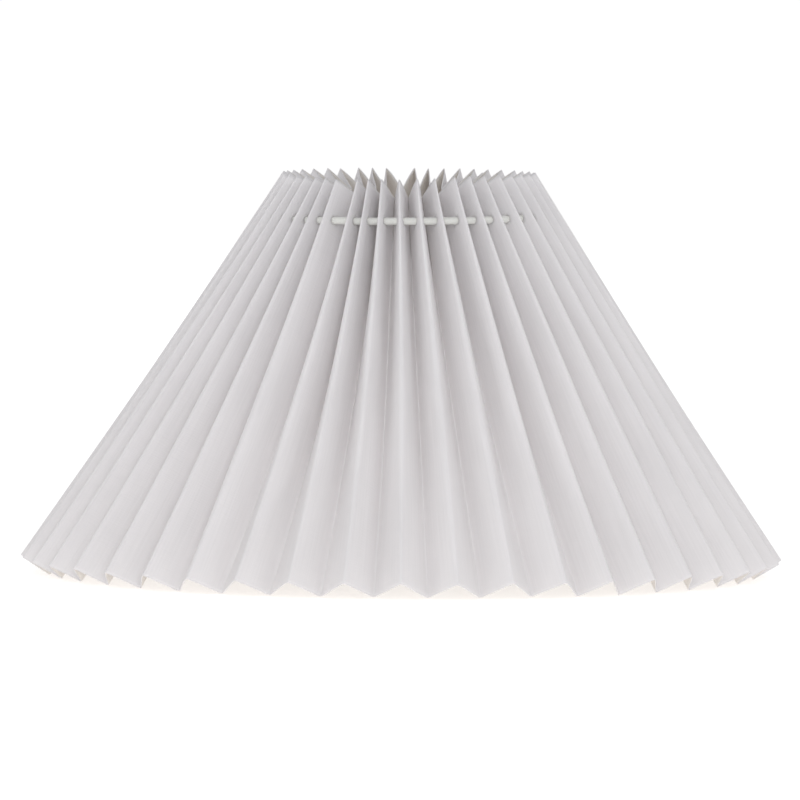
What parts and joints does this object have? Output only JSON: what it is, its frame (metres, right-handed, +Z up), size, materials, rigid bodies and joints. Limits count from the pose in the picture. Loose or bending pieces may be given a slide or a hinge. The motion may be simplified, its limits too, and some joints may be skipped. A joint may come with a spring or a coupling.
{
  "type": "lamp shade",
  "caption": "Cone-shaped lamp shade of accordion-pleated laminated cloth, gathered near its top by a cord, on a wire carrier with a lift-out reducer ring.",
  "frame": {"origin": "under the centre of the shade, level with the lowest points of its hem", "axes": "+Z up the shade's axis towards the narrow top; the front faces -Y and the cord's knot faces +Y"},
  "size_m": [0.3998, 0.3998, 0.2087],
  "materials": {
    "cloth": "matte white cloth laminated on a thin white film, pressed to sharp pleats",
    "tape": "translucent double-sided tape",
    "cord": "round white braid, slightly glossy",
    "steel": "white powder coat",
    "nylon": "moulded white nylon"
  },
  "bodies": {
    "shade": {"pleated_sheet": "cloth", "seam_tape": "tape", "gathering_cord": "cord", "cord_knot": "cord", "carrier_ring": "steel", "carrier_arm_1": "steel", "carrier_arm_2": "steel", "carrier_arm_3": "steel", "lampholder_washer": "steel"},
    "reducer": {"reducer_ring": "nylon"}
  },
  "joints": [
    {"name": "reducer_lift", "type": "slide", "parent": "shade", "child": "reducer", "axis": [0, 0, 1], "range_m": [0, 0.065]}
  ]
}
